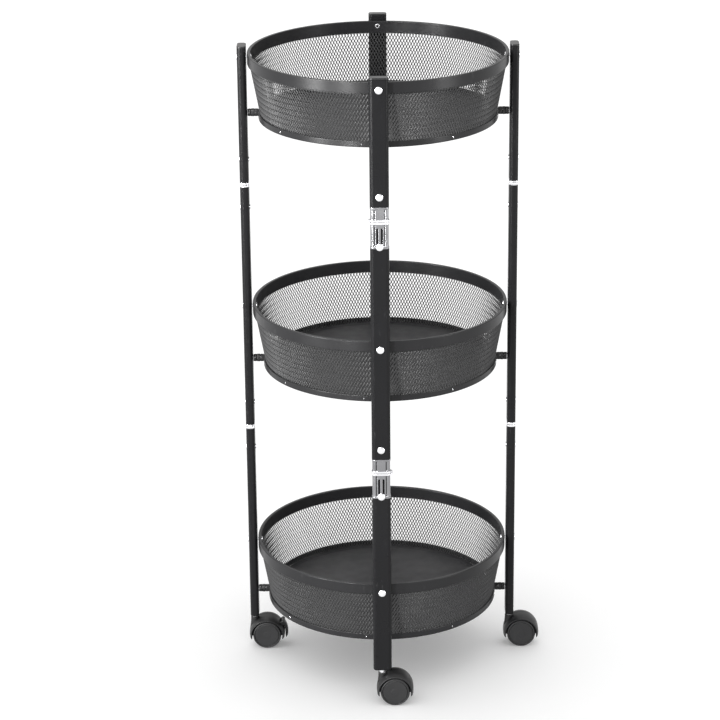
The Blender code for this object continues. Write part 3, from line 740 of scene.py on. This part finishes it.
def fitting(bare, side, above):
    """Half of a post's hinged joint, its face at height 0: a lip, a body as long as its
    tube leaves bare, ending in a second lip, and a neck that runs on inside the tube.
    Gives the bright parts and the body, which is None where nothing is bare."""
    face = GAP / 2
    neck = (TUBE[0] - 2 * (TUBE_WALL + GAP), TUBE[1] - 2 * (TUBE_WALL + GAP),
            TUBE[2] - TUBE_WALL - GAP)
    foot = max(1.5 * MM, bare - 4.0 * MM)
    parts = [pillar(neck, eased([(0.6 * MM, foot), (0.0, foot), (0.0, FITTING_NECK),
                                 (0.6 * MM, FITTING_NECK)], 0.2 * MM, closed=False))]
    lip = eased([(0.9 * MM, face), (-LIP_PROUD, face), (-LIP_PROUD, LIP_HIGH),
                 (0.9 * MM, LIP_HIGH)], [0, 0.5 * MM, 0.5 * MM, 0], closed=False, hold=0.2)
    parts.append(pillar(TUBE, lip))
    shell = None
    if bare > LIP_HIGH:
        slotted = bare > 20 * MM
        end = bare - GAP
        line = eased([(BODY_SHY, LIP_HIGH - 0.5 * MM), (BODY_SHY, bare - SHOULDER),
                      (0.0, bare - SHOULDER_TOP), (0.0, end), (0.9 * MM, end)],
                     [0, 0.15 * MM, 0.15 * MM, 0.4 * MM, 0], closed=False, steps=3)
        body = np.linspace(LIP_HIGH + 0.1 * MM, bare - SHOULDER - GAP, 110 if slotted else 50)
        rows = np.vstack([line[:1], np.stack([BODY_SHY + 0 * body, body], -1),
                          line[line[:, 1] > bare - SHOULDER - 0.2 * MM]])
        shell = pillar(TUBE, rows, front=90,
                       carve=lambda y, z: plated_face(y, z, bare, slotted))
    pin = rivet(TUBE[0] / 2 + GAP / 2, -TUBE[0] / 2 - GAP / 2)
    parts.append(carried(pin, Matrix.Translation((0.0, 0.0, FITTING_RIVET))))
    reach = TUBE[0] / 2 - GAP
    spans = [(-KNUCKLE_HALF, KNUCKLE_HALF)]
    if not above:
        inner = KNUCKLE_HALF + KNUCKLE_ROOM
        spans = [(-reach, -inner), (inner, reach)]
    lean = Matrix.Rotation(math.pi / 2, 4, "Y")
    for low, high in spans:
        knuckle = carried(rod(KNUCKLE_R, low, high, 0.25 * MM), lean,
                          Matrix.Translation((0.0, side * HINGE_OUT, 0.0)))
        strap = np.array([(u, side * v, w) for u in (low + GAP, high - GAP)
                          for v, w in ((STRAP_IN, GAP), (HINGE_OUT, GAP),
                                       (HINGE_OUT, STRAP_LOW), (STRAP_IN, STRAP_HIGH))])
        strap = strap.reshape(2, 4, 3)
        parts += [knuckle, skin(strap)]
    if not above:
        parts.append(carried(rod(HINGE_PIN_R, -reach - GAP, reach + GAP), lean,
                             Matrix.Translation((0.0, side * HINGE_OUT, 0.0))))
    return together(parts), shell


def build_posts():
    """Makes each post's tubes, plug, cap and four fittings; each rides on its own leg."""
    arm = (RIM_TOP["middle"] - RIM_TOP["bottom"]) / 2
    pin = {tier: RIM_TOP[tier] - RIM_BAND / 2 for tier in TIERS}
    over = Matrix.Rotation(math.pi, 4, "X")
    for post in POSTS:
        shown = post in OPEN_POSTS
        above, below = (SHOWN_ABOVE, SHOWN_BELOW) if shown else (LIP_HIGH, LIP_HIGH)
        spare = 0.0 if shown else GAP
        lower, upper = pin["bottom"] + arm, pin["middle"] + arm
        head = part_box(f"{post}_cap")[1].z
        place = at_post(post, POST_R, 0.0)
        spans = {"base": (POST_FOOT, lower - below - spare),
                 "middle": (lower + above + spare, upper - below - spare),
                 "top": (upper + above + spare, head - TOP_TUBE_SHORT)}
        for name, (low, high) in spans.items():
            rounded = FOOT_ROUND if name == "base" else TUBE_END
            piece(f"{post}_{name}_tube", carried(hollow(low, high, rounded), place),
                  "satin black coat", f"{post}_{name}_leg", [f"{post}_{name}_leg"])
        start, stop = POST_FOOT + 0.5 * MM, POST_FOOT + PLUG_DEEP
        plug = pillar((TUBE[0] - 2 * TUBE_WALL, TUBE[1] - 2 * TUBE_WALL, TUBE[2] - TUBE_WALL),
                      eased([(0.6 * MM, start), (0.0, start), (0.0, stop), (0.6 * MM, stop)],
                            0.2 * MM, closed=False))
        piece(f"{post}_foot_plug", carried(plug, place), "moulded black", f"{post}_base_leg")
        cap = pillar(TUBE, eased([(CAP_SHY, head - CAP_DEEP), (CAP_SHY, head - CAP_HEAD),
                                  (0.0, head - CAP_HEAD), (0.0, head), (2.5 * MM, head)],
                                 [0, 0.1 * MM, 0.2 * MM, 0.8 * MM, 0], closed=False))
        piece(f"{post}_end_cap", carried(cap, place), "cap black",
              f"{post}_top_leg", [f"{post}_cap"])
        for joint, height, side, low_body, high_body in (
                ("lower", lower, 1, "base", "middle"), ("upper", upper, -1, "middle", "top")):
            at = at_post(post, POST_R, height)
            for end, bare, way, part, turns in (("top", above, side, high_body, [at]),
                                                ("bottom", below, -side, low_body, [over, at])):
                bright, shell = fitting(bare, way, end == "top")
                body = f"{post}_{part}_leg"
                piece(f"{post}_{joint}_fitting_{end}", carried(bright, *turns), "bright plating",
                      body, [f"{post}_{joint}_joint_{end}"])
                if shell is not None:
                    piece(f"{post}_{joint}_sleeve_{end}", carried(shell, *turns),
                          "plating with painted shade", body)


# ---------------------------------------------------------------- casters

def hood():
    """A hood round the axle (0, y, 0): its crowned strip, radius against width, carried
    from -droop to 180 deg + droop as (r cos a, y, r sin a) and drawn together at both tips
    by sqrt(1 - (1 - t)^2), with a flat web between the wheels."""
    edge, crown = HOOD_BORE + 1.1 * MM, HOOD_R - 0.3 * MM
    strip = eased([(HOOD_BORE, -HOOD_HALF), (edge, -HOOD_HALF), (crown, -HOOD_CROWN),
                   (HOOD_R, 0.0), (crown, HOOD_CROWN), (edge, HOOD_HALF),
                   (HOOD_BORE, HOOD_HALF)],
                  [0.3 * MM, 0.4 * MM, 3.5 * MM, 4 * MM, 3.5 * MM, 0.4 * MM, 0.3 * MM])
    a = np.linspace(-HOOD_DROOP, math.pi + HOOD_DROOP, 72)
    near = np.minimum(a - a[0], a[-1] - a) / 0.06
    shut = np.sqrt(np.clip(1 - (1 - np.clip(near, 0, 1)) ** 2, 0.04, 1))[:, None]
    mid = HOOD_BORE + 1.0 * MM
    r = mid + (strip[None, :, 0] - mid) * shut
    y = np.broadcast_to(strip[None, :, 1], r.shape) * (1 - 0.06 * (1 - shut))
    shell = skin(np.stack([r * np.cos(a)[:, None], y, r * np.sin(a)[:, None]], -1))
    b = np.linspace(-HOOD_DROOP, math.pi + HOOD_DROOP, 48)
    disc = np.stack([(HOOD_BORE + 0.5 * MM) * np.cos(b), (HOOD_BORE + 0.5 * MM) * np.sin(b)], -1)
    web = skin(np.stack([np.stack([disc[:, 0], 0 * b + y0, disc[:, 1]], -1)
                         for y0 in (-WEB_HALF, WEB_HALF)]))
    return [shell, web]


def caster_frame(braked):
    """Hood, a boss turned about the stem's axis and, where there is a brake, two ears with
    their roots in the hood."""
    axle = Matrix.Translation((TRAIL, 0.0, WHEEL_R))
    parts = [carried(part, axle) for part in hood()]
    foot = WHEEL_R + 7 * MM
    boss = eased([(ON_AXIS, foot), (BOSS_FOOT_R, foot), (5.4 * MM, WHEEL_R + 14 * MM),
                  (BOSS_R, BOSS_TOP), (ON_AXIS, BOSS_TOP)],
                 [0, 0.4 * MM, 3 * MM, 0.8 * MM, 0], closed=False)
    parts.append(lathe(boss, 48))
    if braked:
        pivot = Matrix.Translation((TRAIL + LEVER_PIVOT_R * math.cos(LEVER_AT), 0.0,
                                    WHEEL_R + LEVER_PIVOT_R * math.sin(LEVER_AT)))
        upright = Matrix.Rotation(math.pi / 2, 4, "X")
        inner = HOOD_BORE + 1.2 * MM
        for y in (LEVER_HALF + GAP, -LEVER_HALF - GAP - EAR_THICK):
            parts.append(carried(rod(LEVER_BARREL_R, -y - EAR_THICK, -y, 0.3 * MM), upright,
                                 pivot))
            root = np.array([(u, y + v, w) for v in (0.1 * MM, EAR_THICK - 0.1 * MM)
                             for u, w in ((inner, -2.6 * MM), (LEVER_PIVOT_R, -1.8 * MM),
                                          (LEVER_PIVOT_R, 1.8 * MM), (inner, 2.6 * MM))])
            parts.append(carried(skin(root.reshape(2, 4, 3)),
                                 Matrix.Rotation(-LEVER_AT, 4, "Y"), axle))
    return together(parts)


def wheel_pair():
    """Both wheels about the axle, along Y: a tread with round shoulders, a groove inside
    its edge and a shallow raised hub, and the axle between them."""
    w, r = WHEEL_OUT, WHEEL_R
    groove = r - RIM_GROOVE
    line = eased([(ON_AXIS, w - 0.35 * MM), (HUB_R, w - 0.35 * MM),
                  (HUB_R + 0.6 * MM, w - 0.5 * MM),
                  (groove - 0.9 * MM, w - 0.3 * MM), (groove - 0.6 * MM, w - 1.1 * MM),
                  (groove, w - 1.1 * MM), (groove + 0.3 * MM, w - 0.1 * MM),
                  (r - 0.9 * MM, w - 0.1 * MM), (r, w - 1.5 * MM),
                  (r, WHEEL_IN + 1.2 * MM), (r - 1.0 * MM, WHEEL_IN), (ON_AXIS, WHEEL_IN)],
                 [0, .2 * MM, .2 * MM, .25 * MM, .2 * MM, .2 * MM, .3 * MM, .5 * MM,
                  .7 * MM, .6 * MM, .5 * MM, 0], closed=False, steps=3)
    axle = rod(AXLE_R, -WHEEL_IN - MM, WHEEL_IN + MM)
    one = lathe(line, 72)
    lean, back = Matrix.Rotation(-math.pi / 2, 4, "X"), Matrix.Rotation(math.pi / 2, 4, "X")
    return together([carried(one, lean), carried(one, back), carried(axle, lean)])


def brake_lever():
    """A curved tread about the axle, (r cos a, y, r sin a) with r = mid + rise sin(2 (a -
    start)), thinner towards its tip, on a barrel and a pin at its pivot."""
    a = np.linspace(LEVER_AT + 0.02, LEVER_LOW, 40)
    thick = np.interp(a, [LEVER_LOW, LEVER_LOW + 0.12, LEVER_AT], [0.5, 1.6, 1.9]) * MM
    wide = LEVER_HALF - 0.1 * MM + 0 * a
    outline = eased([(-1.0, -1.0), (1.0, -1.0), (1.0, 1.0), (-1.0, 1.0)], 0.5)
    mid = HOOD_R + LEVER_MID + 0.4 * MM * np.sin((a - LEVER_AT) * 2)
    r = mid[:, None] + outline[None, :, 0] * thick[:, None]
    y = outline[None, :, 1] * wide[:, None]
    tread = skin(np.stack([r * np.cos(a)[:, None], y + 0 * r, r * np.sin(a)[:, None]], -1))
    upright = Matrix.Rotation(math.pi / 2, 4, "X")
    pivot = Matrix.Translation((LEVER_PIVOT_R * math.cos(LEVER_AT), 0.0,
                                LEVER_PIVOT_R * math.sin(LEVER_AT)))
    barrel = carried(rod(LEVER_BARREL_R, -LEVER_HALF, LEVER_HALF, 0.3 * MM), upright, pivot)
    reach = LEVER_HALF + EAR_THICK + GAP
    pin = carried(rod(LEVER_PIN_R, -reach, reach), upright, pivot)
    return together([tread, barrel, pin])


def build_casters():
    """Makes each caster's hood, stem, wheels and, where there is one, its brake lever."""
    for post, angle in POSTS.items():
        turn = math.radians(angle)
        stem = Matrix.Translation((CART_X + POST_R * math.cos(turn), POST_R * math.sin(turn), 0.0))
        axle = stem @ Matrix.Translation((TRAIL, 0.0, WHEEL_R))
        piece(f"{post}_hood", carried(caster_frame(post in BRAKED), stem), "moulded black",
              f"{post}_caster", [f"{post}_caster_hood"])
        shoulder, tip = POST_FOOT + 0.4 * MM, POST_FOOT + STEM_HIGH
        shaft = eased([(ON_AXIS, BOSS_TOP - MM), (COLLAR_R, BOSS_TOP - MM), (COLLAR_R, shoulder),
                       (STEM_R, shoulder), (STEM_R, tip), (ON_AXIS, tip)],
                      [0, .3 * MM, .4 * MM, .2 * MM, .5 * MM, 0], closed=False)
        piece(f"{post}_stem", carried(lathe(shaft, 40), stem), "bright plating", f"{post}_caster")
        piece(f"{post}_wheel_pair", carried(wheel_pair(), axle), "wheel black",
              f"{post}_wheels", [f"{post}_caster_wheels"])
        if post in BRAKED:
            piece(f"{post}_brake_tread", carried(brake_lever(), axle), "moulded black",
                  f"{post}_brake_lever", [f"{post}_brake_lever"])


build_baskets()
build_posts()
build_casters()


# ---------------------------------------------------------------- studio

def plane(name, half):
    """A flat square at height 0, from -half to half each way."""
    mesh = bpy.data.meshes.new(name)
    mesh.from_pydata([(-half, -half, 0), (half, -half, 0), (half, half, 0), (-half, half, 0)], [],
                     [(0, 1, 2, 3)])
    made = bpy.data.objects.new(name, mesh)
    bpy.context.scene.collection.objects.link(made)
    return made


def lamp(name, at, aim, size, power, lit):
    """A soft lamp at a place, turned to a height on the cart's axis, that lights `lit`."""
    light = bpy.data.lights.new(name, "AREA")
    light.shape, light.size, light.size_y = "RECTANGLE", size[0], size[1]
    light.energy = power
    made = bpy.data.objects.new(name, light)
    way = Vector(at) - Vector((0.0, 0.0, aim))
    turn = way.to_track_quat("Z", "Y").to_matrix().to_4x4()
    made.matrix_world = Matrix.Translation(at) @ turn
    made.light_linking.receiver_collection = lit
    bpy.context.scene.collection.objects.link(made)


ground = plane("ground", GROUND_HALF)
pale = bpy.data.materials.new("pale floor")
pale.use_nodes = True
pale_shader = pale.node_tree.nodes["Principled BSDF"]
pale_shader.inputs["Base Color"].default_value = (GROUND_TONE, GROUND_TONE, GROUND_TONE, 1.0)
pale_shader.inputs["Roughness"].default_value = 0.85
pale_shader.inputs["Specular IOR Level"].default_value = 0.1
pale_shader.inputs["Emission Color"].default_value = WHITE
pale_shader.inputs["Emission Strength"].default_value = GROUND_GLOW
ground.data.materials.append(pale)

world = bpy.data.worlds.new("studio")
bpy.context.scene.world = world
world.use_nodes = True
sky = world.node_tree
glow = sky.nodes["Background"]
glow.inputs["Color"].default_value = WHITE
glow.inputs["Strength"].default_value = SKY_LIGHT
bright = node(sky, "ShaderNodeBackground", [("Color", WHITE), ("Strength", SKY_SEEN)])
eye = node(sky, "ShaderNodeLightPath")
pick = node(sky, "ShaderNodeMixShader", [(0, eye.outputs["Is Camera Ray"]), (1, glow.outputs[0]),
                                         (2, bright.outputs[0])])
sky.links.new(pick.outputs[0], sky.nodes["World Output"].inputs["Surface"])

lit = bpy.data.collections.new("cart pieces")
for thing in bpy.context.scene.objects:
    if thing.type == "MESH" and thing is not ground:
        lit.objects.link(thing)
for name, (at, aim, size, power) in LAMPS.items():
    lamp(name, at, aim, size, power, lit)
dome = bpy.data.lights.new("overhead", "SUN")
dome.energy, dome.angle = SUN_POWER, SUN_WIDE
above = bpy.data.objects.new("overhead", dome)
above.matrix_world = Matrix.Rotation(SUN_LEAN, 4, "Y")
bpy.context.scene.collection.objects.link(above)

camera = bpy.data.cameras.new("camera")
camera.lens, camera.sensor_width = CAMERA_LENS, 36.0
camera.clip_end = 200.0
stand = bpy.data.objects.new("camera", camera)
yaw, pitch, roll = CAMERA_TURN
stand.matrix_world = (Matrix.Translation(CAMERA_AT) @ Matrix.Rotation(yaw, 4, "Z")
                      @ Matrix.Rotation(pitch, 4, "X") @ Matrix.Rotation(roll, 4, "Z"))
bpy.context.scene.collection.objects.link(stand)
bpy.context.scene.camera = stand
bpy.context.scene.view_settings.view_transform = "Standard"
